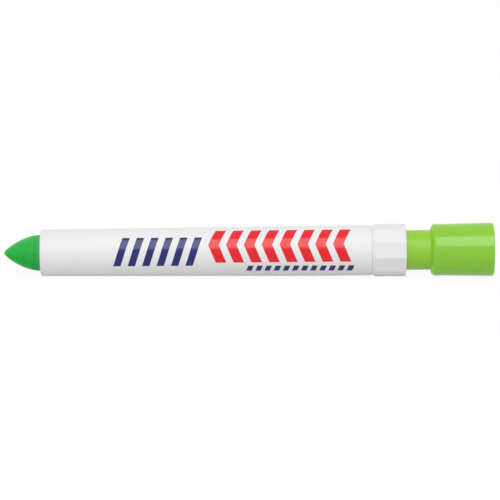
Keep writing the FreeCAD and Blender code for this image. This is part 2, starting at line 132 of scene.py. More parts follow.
class BarrelSettings(PropertyGroup):
    """Sizes and colours of the barrel."""

    cap_seat_length: FloatProperty(
        name="Cap Seat Length", description="Straight stretch at the mouth",
        default=8.0 * MM, unit="LENGTH",
    )
    rear_straight_length: FloatProperty(
        name="Rear Straight Length", description="Straight stretch before the knob",
        default=16.0 * MM, unit="LENGTH",
    )
    bore_radius: FloatProperty(
        name="Bore Radius", description="Bore that guides the stick",
        default=5.95 * MM, unit="LENGTH",
    )
    edge_ease: FloatProperty(
        name="Edge Ease", description="Rounding of the mouth's rims",
        default=0.3 * MM, unit="LENGTH",
    )
    rear_edge_ease: FloatProperty(
        name="Rear Edge Ease", description="Rounding of the rim at the knob",
        default=0.1 * MM, unit="LENGTH",
    )
    knob_seat_radius: FloatProperty(
        name="Knob Seat Radius", description="Counterbore for the knob's spigot",
        default=6.9 * MM, unit="LENGTH",
    )
    knob_seat_length: FloatProperty(
        name="Knob Seat Length", description="Depth of the counterbore",
        default=7.1 * MM, unit="LENGTH",
    )
    snap_groove_radius: FloatProperty(
        name="Snap Groove Radius", description="Floor of the ring groove, from the axis",
        default=7.2 * MM, unit="LENGTH",
    )
    snap_groove_width: FloatProperty(
        name="Snap Groove Width", description="Ring groove, along the axis",
        default=1.5 * MM, unit="LENGTH",
    )
    snap_groove_inset: FloatProperty(
        name="Snap Groove Inset", description="From the barrel's rear face to the ring groove",
        default=2.6 * MM, unit="LENGTH",
    )
    key_count: IntProperty(
        name="Key Grooves", description="Grooves that the carrier's ears slide in",
        default=4, min=1, max=8,
    )
    key_half_width: FloatProperty(
        name="Key Half Width", description="Half the width of a key groove",
        default=0.9 * MM, unit="LENGTH",
    )
    key_floor: FloatProperty(
        name="Key Floor", description="Flat floor of a key groove, from the axis",
        default=6.4 * MM, unit="LENGTH",
    )
    key_inset: FloatProperty(
        name="Key Inset", description="From the mouth to the key grooves",
        default=10.0 * MM, unit="LENGTH",
    )
    roughness: FloatProperty(
        name="Roughness", description="Dullness of its sheen", default=0.52, min=0, max=1,
    )
    colour: FloatVectorProperty(
        name="Colour", description="White moulded plastic",
        default=(0.815, 0.817, 0.82), size=3, min=0, max=1, subtype="COLOR",
    )
    shade: FloatVectorProperty(
        name="Shade", description="Its faint uneven tone",
        default=(0.785, 0.785, 0.785), size=3, min=0, max=1, subtype="COLOR",
    )


class KnobSettings(PropertyGroup):
    """Sizes and colours of the twist knob."""

    side_count: IntProperty(
        name="Sides", description="Flats of the grip", default=10, min=6, max=24,
    )
    corner_ease: FloatProperty(
        name="Corner Ease", description="Rounding where two flats meet",
        default=0.22 * MM, unit="LENGTH",
    )
    grip_length: FloatProperty(
        name="Grip Length", description="Ten-sided part behind the barrel",
        default=10.6 * MM, unit="LENGTH",
    )
    lead_radius: FloatProperty(
        name="Lead Radius", description="Front edge of the grip",
        default=7.72 * MM, unit="LENGTH",
    )
    lead_length: FloatProperty(
        name="Lead Length", description="Slope at the grip's front edge",
        default=1.1 * MM, unit="LENGTH",
    )
    lead_rise: FloatProperty(
        name="Lead Rise", description="Height of that slope",
        default=0.5 * MM, unit="LENGTH",
    )
    lead_softness: FloatProperty(
        name="Lead Softness", description="Soft join of that slope and the flats",
        default=0.05 * MM, unit="LENGTH",
    )
    rear_ease: FloatProperty(
        name="Rear Ease", description="Rounding of the grip's rear edge",
        default=0.6 * MM, unit="LENGTH",
    )
    spigot_radius: FloatProperty(
        name="Spigot Radius", description="Part of the knob inside the barrel",
        default=6.75 * MM, unit="LENGTH",
    )
    spigot_ease: FloatProperty(
        name="Spigot Ease", description="Front edge of the spigot",
        default=0.6 * MM, unit="LENGTH",
    )
    bead_place: FloatProperty(
        name="Bead Place", description="From the spigot's front to its snap bead",
        default=2.95 * MM, unit="LENGTH",
    )
    bead_height: FloatProperty(
        name="Bead Height", description="Snap bead above the spigot",
        default=0.3 * MM, unit="LENGTH",
    )
    bead_width: FloatProperty(
        name="Bead Width", description="Snap bead, along the axis",
        default=1.0 * MM, unit="LENGTH",
    )
    bead_ease: FloatProperty(
        name="Bead Ease", description="Rounding of the snap bead",
        default=0.3 * MM, unit="LENGTH",
    )
    bearing_radius: FloatProperty(
        name="Bearing Radius", description="Low ring that runs on the barrel's rear face",
        default=7.72 * MM, unit="LENGTH",
    )
    bearing_length: FloatProperty(
        name="Bearing Length", description="Low ring, along the axis",
        default=0.15 * MM, unit="LENGTH",
    )
    socket_radius: FloatProperty(
        name="Socket Radius", description="Rear socket that takes the cap's nose",
        default=6.35 * MM, unit="LENGTH",
    )
    socket_depth: FloatProperty(
        name="Socket Depth", description="Depth of the rear socket",
        default=6.3 * MM, unit="LENGTH",
    )
    socket_ease: FloatProperty(
        name="Socket Ease", description="Mouth of the rear socket",
        default=0.25 * MM, unit="LENGTH",
    )
    core_radius: FloatProperty(
        name="Core Radius", description="Hollow ahead of the socket",
        default=5.2 * MM, unit="LENGTH",
    )
    core_ease: FloatProperty(
        name="Core Ease", description="Edges of the hollow and of the boss in it",
        default=0.08 * MM, unit="LENGTH",
    )
    front_wall: FloatProperty(
        name="Front Wall", description="Floor of the hollow",
        default=1.8 * MM, unit="LENGTH",
    )
    hub_radius: FloatProperty(
        name="Hub Radius", description="Boss round the spindle's square hole",
        default=3.73 * MM, unit="LENGTH",
    )
    hub_length: FloatProperty(
        name="Hub Length", description="From the spigot's front to the end of the boss",
        default=6.2 * MM, unit="LENGTH",
    )
    square_half_width: FloatProperty(
        name="Square Half Width", description="Half the spindle's square hole",
        default=1.98 * MM, unit="LENGTH",
    )
    square_depth: FloatProperty(
        name="Square Depth", description="Depth of the square hole",
        default=5.3 * MM, unit="LENGTH",
    )
    roughness: FloatProperty(
        name="Roughness", description="Dullness of its sheen", default=0.36, min=0, max=1,
    )
    colour: FloatVectorProperty(
        name="Colour", description="White moulded plastic",
        default=(0.805, 0.807, 0.81), size=3, min=0, max=1, subtype="COLOR",
    )
    shade: FloatVectorProperty(
        name="Shade", description="Its faint uneven tone",
        default=(0.77, 0.77, 0.77), size=3, min=0, max=1, subtype="COLOR",
    )


class CapSettings(PropertyGroup):
    """Sizes and colours of the cap."""

    neck_radius: FloatProperty(
        name="Neck Radius", description="Outside of the cap's nose",
        default=6.25 * MM, unit="LENGTH",
    )
    nose_length: FloatProperty(
        name="Nose Length", description="From the nose's end to the shoulder",
        default=13.3 * MM, unit="LENGTH",
    )
    nose_ease: FloatProperty(
        name="Nose Ease", description="Edge of the nose's closed end",
        default=0.7 * MM, unit="LENGTH",
    )
    shoulder_length: FloatProperty(
        name="Shoulder Length", description="Slope from the nose to the skirt",
        default=1.7 * MM, unit="LENGTH",
    )
    rise_inset: FloatProperty(
        name="Rise Inset", description="From the nose's end to the shoulder's steep rise",
        default=0.33 * MM, unit="LENGTH",
    )
    rise_length: FloatProperty(
        name="Rise Length", description="The shoulder's steep rise, along the axis",
        default=0.75 * MM, unit="LENGTH",
    )
    shoulder_ease: FloatProperty(
        name="Shoulder Ease", description="Rounding between the rise and the skirt",
        default=1.3 * MM, unit="LENGTH",
    )
    neck_ease: FloatProperty(
        name="Neck Ease", description="Rounding between the nose and the slope",
        default=0.3 * MM, unit="LENGTH",
    )
    skirt_radius: FloatProperty(
        name="Skirt Radius", description="Skirt behind the shoulder",
        default=8.15 * MM, unit="LENGTH",
    )
    skirt_straight_length: FloatProperty(
        name="Skirt Straight Length", description="Skirt before it widens",
        default=5.0 * MM, unit="LENGTH",
    )
    rim_ease: FloatProperty(
        name="Rim Ease", description="Rounding of the rim",
        default=0.3 * MM, unit="LENGTH",
    )
    end_wall: FloatProperty(
        name="End Wall", description="Closed end of the nose",
        default=1.0 * MM, unit="LENGTH",
    )
    end_ease: FloatProperty(
        name="End Ease", description="Rounding at the bottom of the nose's bore",
        default=0.3 * MM, unit="LENGTH",
    )
    nose_wall: FloatProperty(
        name="Nose Wall", description="Side wall of the nose",
        default=0.6 * MM, unit="LENGTH",
    )
    shoulder_wall: FloatProperty(
        name="Shoulder Wall", description="From the outer slope to the inner one, along the axis",
        default=0.45 * MM, unit="LENGTH",
    )
    mouth_relief: FloatProperty(
        name="Mouth Relief", description="How much wider the bore is near its rim",
        default=0.22 * MM, unit="LENGTH",
    )
    roughness: FloatProperty(
        name="Roughness", description="Dullness of its sheen", default=0.18, min=0, max=1,
    )
    colour: FloatVectorProperty(
        name="Colour", description="Lime green moulded plastic",
        default=(0.270, 0.588, 0.031), size=3, min=0, max=1, subtype="COLOR",
    )
    shade: FloatVectorProperty(
        name="Shade", description="Its faint uneven tone",
        default=(0.252, 0.565, 0.029), size=3, min=0, max=1, subtype="COLOR",
    )
    # Painted light: the nose ahead of the shoulder is painted this paler green
    rubbed: FloatVectorProperty(
        name="Rubbed", description="Paler green of the nose, where the socket rubs it",
        default=(0.300, 0.612, 0.031), size=3, min=0, max=1, subtype="COLOR",
    )
    rubbed_dullness: FloatProperty(
        name="Rubbed Dullness", description="What the rubbing adds to the roughness",
        default=0.22, min=0, max=1,
    )


class PaintSettings(PropertyGroup):
    """Sizes and colours of the stick of solid paint."""

    nose_depth: FloatProperty(
        name="Nose Depth", description="Rounded point, along the axis",
        default=0.33 * MM, unit="LENGTH",
    )
    nose_edge_radius: FloatProperty(
        name="Nose Edge Radius", description="Rounded point, where the flank begins",
        default=0.77 * MM, unit="LENGTH",
    )
    flank_length: FloatProperty(
        name="Flank Length", description="Curved flank of the tip, from the point",
        default=9.45 * MM, unit="LENGTH",
    )
    flank_end_radius: FloatProperty(
        name="Flank End Radius", description="Where the flank ends",
        default=5.51 * MM, unit="LENGTH",
    )
    flank_bend_radius: FloatProperty(
        name="Flank Bend Radius", description="Radius of the flank's curve",
        default=19.2 * MM, unit="LENGTH",
    )
    collar_length: FloatProperty(
        name="Collar Length", description="Gentle slope behind the flank",
        default=3.4 * MM, unit="LENGTH",
    )
    line_depth: FloatProperty(
        name="Line Depth", description="Fine mould line between the flank and the collar",
        default=0.14 * MM, unit="LENGTH",
    )
    line_half_width: FloatProperty(
        name="Line Half Width", description="Half the width of that line",
        default=0.16 * MM, unit="LENGTH",
    )
    line_offset: FloatProperty(
        name="Line Offset", description="From the end of the flank to the line's middle",
        default=0.27 * MM, unit="LENGTH",
    )
    tail_radius: FloatProperty(
        name="Tail Radius", description="Stick where the carrier's cup holds it",
        default=5.05 * MM, unit="LENGTH",
    )
    tail_length: FloatProperty(
        name="Tail Length", description="Stretch held in the cup",
        default=5.5 * MM, unit="LENGTH",
    )
    hole_radius: FloatProperty(
        name="Hole Radius", description="Hole for the spindle",
        default=3.3 * MM, unit="LENGTH",
    )
    solid_tip_length: FloatProperty(
        name="Solid Tip Length", description="Paint ahead of the hole",
        default=16.5 * MM, unit="LENGTH",
    )
    unevenness: FloatProperty(
        name="Unevenness", description="Depth of the shallow hollows of the cast wax",
        default=0.05 * MM, unit="LENGTH",
    )
    hollow_size: FloatProperty(
        name="Hollow Size", description="Size of those hollows",
        default=2.6 * MM, unit="LENGTH",
    )
    # Painted shade: this greyer, darker green is painted on the stick where it enters the barrel's
    # mouth
    rubbed: FloatVectorProperty(
        name="Rubbed", description="Dull film where the mouth wipes the stick",
        default=(0.09, 0.42, 0.17), size=3, min=0, max=1, subtype="COLOR",
    )
    # Reach of that painted shade on both sides of the mouth
    rubbed_length: FloatProperty(
        name="Rubbed Length", description="Dull film ahead of the mouth",
        default=0.9 * MM, unit="LENGTH",
    )
    colour: FloatVectorProperty(
        name="Colour", description="Green solid paint",
        default=(0.046, 0.50, 0.072), size=3, min=0, max=1, subtype="COLOR",
    )
    shade: FloatVectorProperty(
        name="Shade", description="Deeper green of its streaks",
        default=(0.008, 0.40, 0.072), size=3, min=0, max=1, subtype="COLOR",
    )


class InsideSettings(PropertyGroup):
    """Colours of the pieces inside the barrel."""

    carrier_colour: FloatVectorProperty(
        name="Carrier Colour", description="Plain white of the stick carrier",
        default=(0.72, 0.72, 0.70), size=3, min=0, max=1, subtype="COLOR",
    )
    carrier_shade: FloatVectorProperty(
        name="Carrier Shade", description="Its faint uneven tone",
        default=(0.68, 0.68, 0.66), size=3, min=0, max=1, subtype="COLOR",
    )
    carrier_roughness: FloatProperty(
        name="Carrier Roughness", description="Dullness of its sheen", default=0.5, min=0, max=1,
    )
    screw_colour: FloatVectorProperty(
        name="Screw Colour", description="Plain white of the lead screw",
        default=(0.75, 0.75, 0.73), size=3, min=0, max=1, subtype="COLOR",
    )
    screw_shade: FloatVectorProperty(
        name="Screw Shade", description="Its faint uneven tone",
        default=(0.70, 0.70, 0.69), size=3, min=0, max=1, subtype="COLOR",
    )
    screw_roughness: FloatProperty(
        name="Screw Roughness", description="Dullness of its sheen", default=0.45, min=0, max=1,
    )


class PrintSettings(PropertyGroup):
    """Sizes and colours of the printed bands on the barrel."""

    film: FloatProperty(
        name="Film", description="Height of the ink above the barrel",
        default=0.012 * MM, unit="LENGTH",
    )
    sink: FloatProperty(
        name="Sink", description="Depth of the ink's underside in the barrel",
        default=0.012 * MM, unit="LENGTH",
    )
    bar_count: IntProperty(
        name="Bars", description="Slanted navy bars near the front", default=6, min=1, max=40,
    )
    chevron_count: IntProperty(
        name="Chevrons", description="Red chevrons that point to the tip", default=8, min=1, max=40,
    )
    dash_count: IntProperty(
        name="Dashes", description="Small navy dashes under them", default=12, min=1, max=60,
    )
    red: FloatVectorProperty(
        name="Red", description="Red ink",
        default=(0.72, 0.003, 0.010), size=3, min=0, max=1, subtype="COLOR",
    )
    navy: FloatVectorProperty(
        name="Navy", description="Navy ink",
        default=(0.004, 0.014, 0.135), size=3, min=0, max=1, subtype="COLOR",
    )


class StageSettings(PropertyGroup):
    """The camera, the lights and the floor."""

    view_elevation: FloatProperty(
        name="View Elevation", description="Camera above the marker's level",
        default=math.radians(18), subtype="ANGLE",
    )
    view_roll: FloatProperty(
        name="View Roll", description="How far the cap's end is raised in the picture",
        default=math.radians(0.45), subtype="ANGLE",
    )
    view_distance: FloatProperty(
        name="View Distance", description="Camera from the middle of the marker",
        default=780 * MM, unit="LENGTH",
    )
    view_width: FloatProperty(
        name="View Width", description="Width of the picture at the marker",
        default=157.1 * MM, unit="LENGTH",
    )
    view_shift: FloatProperty(
        name="View Shift", description="Middle of the picture, along the marker",
        default=0.47 * MM, unit="LENGTH",
    )
    view_raise: FloatProperty(
        name="View Raise", description="Middle of the picture above the marker's axis",
        default=0.37 * MM, unit="LENGTH",
    )
    key_power: FloatProperty(
        name="Key Power", description="Power of the softbox", default=4.5, unit="POWER",
    )
    key_width: FloatProperty(
        name="Key Width", description="Softbox, along the marker",
        default=450 * MM, unit="LENGTH",
    )
    key_height: FloatProperty(
        name="Key Height", description="Softbox, across the marker",
        default=820 * MM, unit="LENGTH",
    )
    key_distance: FloatProperty(
        name="Key Distance", description="Softbox from the marker",
        default=1000 * MM, unit="LENGTH",
    )
    key_elevation: FloatProperty(
        name="Key Elevation", description="Softbox above the floor",
        default=math.radians(55), subtype="ANGLE",
    )
    fill_strength: FloatProperty(
        name="Fill Strength", description="Light from all round", default=0.655, min=0,
    )
    floor_size: FloatProperty(
        name="Floor Size", description="Side of the square floor",
        default=3000 * MM, unit="LENGTH",
    )
    floor_glow: FloatProperty(
        name="Floor Glow", description="Brightness of the floor in the picture",
        default=1.03, min=0,
    )
    floor_glow_share: FloatProperty(
        name="Floor Glow Share", description="Share of that glow in the floor's look",
        default=0.9, min=0, max=1,
    )


class MarkerSettings(PropertyGroup):
    """Everything that can be set, piece by piece."""

    barrel: PointerProperty(name="Barrel", description="The white tube", type=BarrelSettings)
    knob: PointerProperty(name="Knob", description="The twist knob", type=KnobSettings)
    cap: PointerProperty(name="Cap", description="The green cap", type=CapSettings)
    paint: PointerProperty(name="Paint", description="The paint stick", type=PaintSettings)
    inside: PointerProperty(name="Inside", description="The inner pieces", type=InsideSettings)
    ink: PointerProperty(name="Print", description="The printed bands", type=PrintSettings)
    stage: PointerProperty(name="Stage", description="Camera, light and floor", type=StageSettings)


def round_angles(marked=()):
    """Angles round the axis, with the marked ones among them and none crowding those."""
    step = 2 * math.pi / ROUND_STEPS
    marked = [angle % (2 * math.pi) for angle in marked]

    def is_clear(angle):
        gaps = [abs(angle - mark) for mark in marked]
        return all(min(gap, 2 * math.pi - gap) > step / 2 for gap in gaps)

    plain = [step * i for i in range(ROUND_STEPS)]
    return sorted([angle for angle in plain if is_clear(angle)] + marked)


def arc_points(start, end, bend, steps):
    """Points between two places on an arc that bulges away from the axis."""
    middle = (start + end) / 2
    chord = end - start
    depth = math.sqrt(bend**2 - chord.length_squared / 4)
    centre = middle + Vector((chord.y, -chord.x)).normalized() * depth
    first = start - centre
    turn = first.angle_signed(end - centre)
    points = []
    for i in range(1, steps):
        swing = Matrix.Rotation(-turn * i / steps, 2)
        points.append(centre + swing @ first)
    return points


def eased(corners, closed=False):
    """Outline with its corners (x, radius, ease) rounded; an ease of 0 keeps one as it is."""
    places = [Vector(corner[:2]) for corner in corners]
    outline = []
    for i, corner in enumerate(corners):
        place = places[i]
        ease = corner[2] if len(corner) > 2 else 0
        if ease == 0 or (not closed and i in (0, len(corners) - 1)):
            outline.append(place)
            continue
        back = places[i - 1] - place
        ahead = places[(i + 1) % len(places)] - place
        inner = back.angle(ahead)
        turn = math.pi - inner
        reach = ease / math.tan(inner / 2)
        support = min(SUPPORT, (back.length - reach) / 3, (ahead.length - reach) / 3)
        back.normalize()
        ahead.normalize()
        centre = place + (back + ahead).normalized() * ease / math.sin(inner / 2)
        first = (place + back * reach - centre) / ease
        last = (place + ahead * reach - centre) / ease
        steps = max(2, math.ceil(turn / EASE_STEP))
        outline.append(place + back * (reach + support))
        for j in range(steps + 1):
            share = j / steps
            swung = first * math.sin((1 - share) * turn) + last * math.sin(share * turn)
            outline.append(centre + swung * ease / math.sin(turn))
        outline.append(place + ahead * (reach + support))
    return outline


def placed(name, data):
    """New object in the scene."""
    item = bpy.data.objects.new(name, data)
    bpy.context.scene.collection.objects.link(item)
    return item


def turned(name, stations, angles, closed=False):
    """Mesh object turned about the marker's axis.

    Each station is (x, radius); a radius may be a function of the angle, and 0 is a pole.
    """
    form = bmesh.new()
    rings = []
    for x, radius in stations:
        if radius == 0:
            rings.append([form.verts.new((x, 0, AXIS_HEIGHT))])
            continue
        reaches = [radius(angle) if callable(radius) else radius for angle in angles]
        rings.append([
            form.verts.new((x, reach * math.cos(angle), AXIS_HEIGHT + reach * math.sin(angle)))
            for reach, angle in zip(reaches, angles)
        ])
    pairs = list(zip(rings, rings[1:]))
    if closed:
        pairs.append((rings[-1], rings[0]))
    for near, far in pairs:
        for i in range(len(angles)):
            j = (i + 1) % len(angles)
            if len(near) == 1:
                form.faces.new((near[0], far[j], far[i]))
            elif len(far) == 1:
                form.faces.new((near[i], near[j], far[0]))
            else:
                form.faces.new((near[i], near[j], far[j], far[i]))
    bmesh.ops.remove_doubles(form, verts=form.verts[:], dist=SAME_PLACE)
    bmesh.ops.recalc_face_normals(form, faces=form.faces[:])
    mesh = bpy.data.meshes.new(name)
    form.to_mesh(mesh)
    form.free()
    mesh.shade_smooth()
    mesh.set_sharp_from_angle(angle=CREASE_ANGLE)
    return placed(name, mesh)


def finished(piece, material, body, slot, *nodes):
    """Gives a piece its material and its body, and hides the imported nodes that it stands for."""
    piece.data.materials.clear()
    piece.data.materials.append(material)
    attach(piece, body)
    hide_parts(*nodes)
    return piece


def dress_node(node, material):
    """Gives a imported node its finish."""
    shape = frame["nodes"][node]
    if not shape.material_slots:
        shape.data.materials.append(material)
    for slot in shape.material_slots:
        slot.material = material


def put(tree, kind, feeds=None, **settings):
    """Adds a node. Feeds gives its inputs by name or number, each a socket or a plain value."""
    node = tree.nodes.new(kind)
    for name, value in settings.items():
        setattr(node, name, value)
    for key, feed in (feeds or {}).items():
        if isinstance(feed, bpy.types.NodeSocket):
            tree.links.new(feed, node.inputs[key])
        else:
            node.inputs[key].default_value = feed
    return node


def maths(tree, operation, *feeds):
    """Output of a Math node over sockets and plain values."""
    node = put(tree, "ShaderNodeMath", dict(enumerate(feeds)), operation=operation)
    return node.outputs[0]


def mixed(tree, factor, first, second):
    """Output of a colour mix, whose colours are the Mix node's inputs 6 and 7."""
    return put(tree, "ShaderNodeMix", {0: factor, 6: first, 7: second}, data_type="RGBA").outputs[2]


def ranged(tree, value, start, end, low=0.0, high=1.0, **settings):
    """Output of a value that goes from low at start to high at end."""
    feeds = {"Value": value, "From Min": start, "From Max": end, "To Min": low, "To Max": high}
    return put(tree, "ShaderNodeMapRange", feeds, **settings).outputs[0]


def between(tree, value, low, high):
    """Output of a value from 0 to 1 spread from low to high."""
    return ranged(tree, value, 0.0, 1.0, low, high)


def object_place(tree):
    """Output of the place on the piece, in metres."""
    return put(tree, "ShaderNodeTexCoord").outputs["Object"]


def drawn_out(tree, place, sizes, **turn):
    """Output of the place for marks that are long one way and narrow the others."""
    stretch = put(tree, "ShaderNodeCombineXYZ", {
        "X": sizes["Length Scale"], "Y": sizes["Width Scale"], "Z": sizes["Width Scale"],
    })
    feeds = {"Vector": place, "Scale": stretch.outputs[0], **turn}
    return put(tree, "ShaderNodeMapping", feeds).outputs[0]


def new_effect(name, inputs, outputs):
    """Empty shader node group with its sockets, and its input and output nodes."""
    tree = bpy.data.node_groups.new(name, "ShaderNodeTree")
    for label, default in inputs:
        socket = tree.interface.new_socket(label, in_out="INPUT", socket_type="NodeSocketFloat")
        socket.default_value = default
    for label in outputs:
        tree.interface.new_socket(label, in_out="OUTPUT", socket_type="NodeSocketFloat")
    return tree, put(tree, "NodeGroupInput"), put(tree, "NodeGroupOutput")


def moulded_grain():
    """Fine even texture of the tool that moulded the piece, and soft large clouding."""
    tree, sizes, results = new_effect(
        "moulded_grain",
        [("Grain Scale", 3200.0), ("Cloud Scale", 90.0)],
        ["Grain", "Cloud"],
    )
    place = object_place(tree)
    grain = put(tree, "ShaderNodeTexNoise", {
        "Vector": place, "Scale": sizes.outputs["Grain Scale"], "Detail": 3.0, "Roughness": 0.6,
    })
    cloud = put(tree, "ShaderNodeTexNoise", {
        "Vector": place, "Scale": sizes.outputs["Cloud Scale"], "Detail": 2.0, "Roughness": 0.5,
    })
    tree.links.new(grain.outputs[0], results.inputs["Grain"])
    tree.links.new(cloud.outputs[0], results.inputs["Cloud"])
    return tree


def handling_marks():
    """Faint scuffs and hairlines along and round a handled surface, as a mask."""
    tree, sizes, results = new_effect(
        "handling_marks",
        [("Amount", 0.5), ("Length Scale", 60.0), ("Width Scale", 1500.0)],
        ["Scuffs"],
    )
    place = object_place(tree)
    drawn = drawn_out(tree, place, sizes.outputs, Rotation=(0.0, 0.11, 0.17))
    hairs = put(tree, "ShaderNodeTexNoise", {"Vector": drawn, "Scale": 1.0, "Detail": 2.0})
    patches = put(tree, "ShaderNodeTexNoise", {"Vector": place, "Scale": 140.0, "Detail": 3.0})
    fine = ranged(tree, hairs.outputs[0], start=0.62, end=0.74)
    worn = ranged(tree, patches.outputs[0], start=0.45, end=0.7)
    mask = maths(tree, "MULTIPLY", maths(tree, "MULTIPLY", fine, worn), sizes.outputs["Amount"])
    tree.links.new(mask, results.inputs["Scuffs"])
    return tree


def wax_streaks():
    """Lengthwise drag lines and mottling of a stick of solid paint."""
    tree, sizes, results = new_effect(
        "wax_streaks",
        [("Length Scale", 130.0), ("Width Scale", 900.0), ("Mottle Scale", 420.0)],
        ["Streaks", "Mottle"],
    )
    place = object_place(tree)
    drawn = drawn_out(tree, place, sizes.outputs)
    streaks = put(tree, "ShaderNodeTexNoise", {
        "Vector": drawn, "Scale": 1.0, "Detail": 4.0, "Roughness": 0.6,
    })
    mottle = put(tree, "ShaderNodeTexNoise", {
        "Vector": place, "Scale": sizes.outputs["Mottle Scale"], "Detail": 4.0,
    })
    tree.links.new(streaks.outputs[0], results.inputs["Streaks"])
    tree.links.new(mottle.outputs[0], results.inputs["Mottle"])
    return tree


def effect(tree, maker, **values):
    """Places a shared effect in a material, with its own values."""
    group = bpy.data.node_groups.get(maker.__name__) or maker()
    node = put(tree, "ShaderNodeGroup", node_tree=group)
    for name, value in values.items():
        node.inputs[name.replace("_", " ").title()].default_value = value
    return node


def new_material(name, shine):
    """Material with a Principled shader, and the values of it that are the same all over."""
    material = bpy.data.materials.new(name)
    material.use_nodes = True
    tree = material.node_tree
    tree.nodes.clear()
    shader = put(tree, "ShaderNodeBsdfPrincipled")
    for key, value in shine.items():
        shader.inputs[key].default_value = value
    put(tree, "ShaderNodeOutputMaterial", {"Surface": shader.outputs[0]})
    return material, tree, shader


def solid_colour(colour):
    """The colour with full cover."""
    return (*colour, 1.0)


def along_axis(tree):
    """Output of the place along the marker's axis."""
    return put(tree, "ShaderNodeSeparateXYZ", {0: object_place(tree)}).outputs["X"]


def add_grain(tree, shader, height, depth):
    """Feeds the shader's normal with a fine relief."""
    bump = put(tree, "ShaderNodeBump", {"Height": height, "Strength": 1.0, "Distance": depth})
    tree.links.new(bump.outputs[0], shader.inputs["Normal"])


def moulded_plastic(name, colour, shade, roughness, grain_depth, marks, shine, rubbed=None):
    """Moulded plastic: fine grain, faint clouding, and scuffs that dull its gloss.

    Painted light gives the two places along the axis between which a painted lighter tone fades
    out, that painted tone, and what rubbing adds to the roughness there.
    """
    material, tree, shader = new_material(name, shine)
    grain = effect(tree, moulded_grain)
    scuffs = effect(tree, handling_marks, amount=marks).outputs["Scuffs"]
    tone = mixed(tree, grain.outputs["Cloud"], solid_colour(colour), solid_colour(shade))
    glossiest = roughness * (1 - GLOSS_SPREAD)
    dullest = roughness * (1 + GLOSS_SPREAD)
    gloss = between(tree, grain.outputs["Grain"], glossiest, dullest)
    dulled = maths(tree, "ADD", gloss, scuffs)
    if rubbed:
        start, end, painted_tone, dullness = rubbed
        painted_light_and_wear = ranged(tree, along_axis(tree), start, end, low=1.0, high=0.0)
        # Painted light: the stretch is painted the paler tone; the same mask adds the rubbing's
        # roughness
        tone = mixed(tree, painted_light_and_wear, tone, solid_colour(painted_tone))
        dulled = maths(tree, "ADD", dulled, maths(tree, "MULTIPLY", painted_light_and_wear, dullness))
    tree.links.new(tone, shader.inputs["Base Color"])
    tree.links.new(dulled, shader.inputs["Roughness"])
    add_grain(tree, shader, grain.outputs["Grain"], grain_depth)
    return material


def wax_paint(name, settings):
    """Waxy solid paint with drag lines, and painted shade where it meets the barrel's mouth."""
    material, tree, shader = new_material(name, {
        "Subsurface Weight": 1.0, "Subsurface Scale": 6.0 * MM,
        "Subsurface Radius": (0.03, 1.0, 0.1), "Specular IOR Level": 0.2,
    })
    wax = effect(tree, wax_streaks)
    blend = maths(tree, "MULTIPLY", wax.outputs["Streaks"], wax.outputs["Mottle"])
    blend = between(tree, blend, 0.0, STREAK_GAIN)
    tone = mixed(tree, blend, solid_colour(settings.colour), solid_colour(settings.shade))
    offset = maths(tree, "ABSOLUTE", maths(tree, "SUBTRACT", along_axis(tree), BARREL_LOW.x))
    # Painted shade: the stick is darkened to a greyer green near the barrel's mouth, on both sides
    # of it
    film = ranged(
        tree, offset, settings.rubbed_length * MOUTH_SHADE_FADES_FROM,
        settings.rubbed_length * MOUTH_SHADE_FADES_TO, low=MOUTH_SHADE_COVER, high=0.0,
        interpolation_type="SMOOTHSTEP",
    )
    tone = mixed(tree, film, tone, solid_colour(settings.rubbed))
    gloss = between(tree, wax.outputs["Mottle"], *WAX_ROUGHNESS)
    tree.links.new(tone, shader.inputs["Base Color"])
    tree.links.new(gloss, shader.inputs["Roughness"])
    height = maths(tree, "ADD", wax.outputs["Streaks"], wax.outputs["Mottle"])
    add_grain(tree, shader, height, WAX_GRAIN_DEPTH)
    return material


def printed_ink(name, colour):
    """Screen-printed ink with slightly uneven cover."""
    material, tree, shader = new_material(name, {"Specular IOR Level": 0.36})
    grain = effect(tree, moulded_grain, grain_scale=2400.0, cloud_scale=260.0)
    thin = solid_colour([part * THIN_INK_GAIN + THIN_INK_LIFT for part in colour])
    tone = mixed(tree, grain.outputs["Cloud"], solid_colour(colour), thin)
    gloss = between(tree, grain.outputs["Grain"], *INK_ROUGHNESS)
    tree.links.new(tone, shader.inputs["Base Color"])
    tree.links.new(gloss, shader.inputs["Roughness"])
    add_grain(tree, shader, grain.outputs["Grain"], INK_GRAIN_DEPTH)
    return material


def bore_with_keys(settings, radius):
    """Radius of the bore round the axis, with its flat-floored key grooves."""
    spacing = 2 * math.pi / settings.key_count

    def reach(angle):
        off = (angle + spacing / 2) % spacing - spacing / 2
        floor_edge = math.atan(settings.key_half_width / settings.key_floor)
        if abs(off) < floor_edge + SAME_PLACE:
            return settings.key_floor / math.cos(off)
        return radius
    return reach


def key_angles(settings):
    """Angles of the key grooves' edges, at their floors and at the bore."""
    floor_edge = math.atan(settings.key_half_width / settings.key_floor)
    bore_edge = math.asin(settings.key_half_width / settings.bore_radius)
    middles = [2 * math.pi * i / settings.key_count for i in range(settings.key_count)]
    edges = (-bore_edge, -floor_edge, 0, floor_edge, bore_edge)
    return [middle + edge for middle in middles for edge in edges]


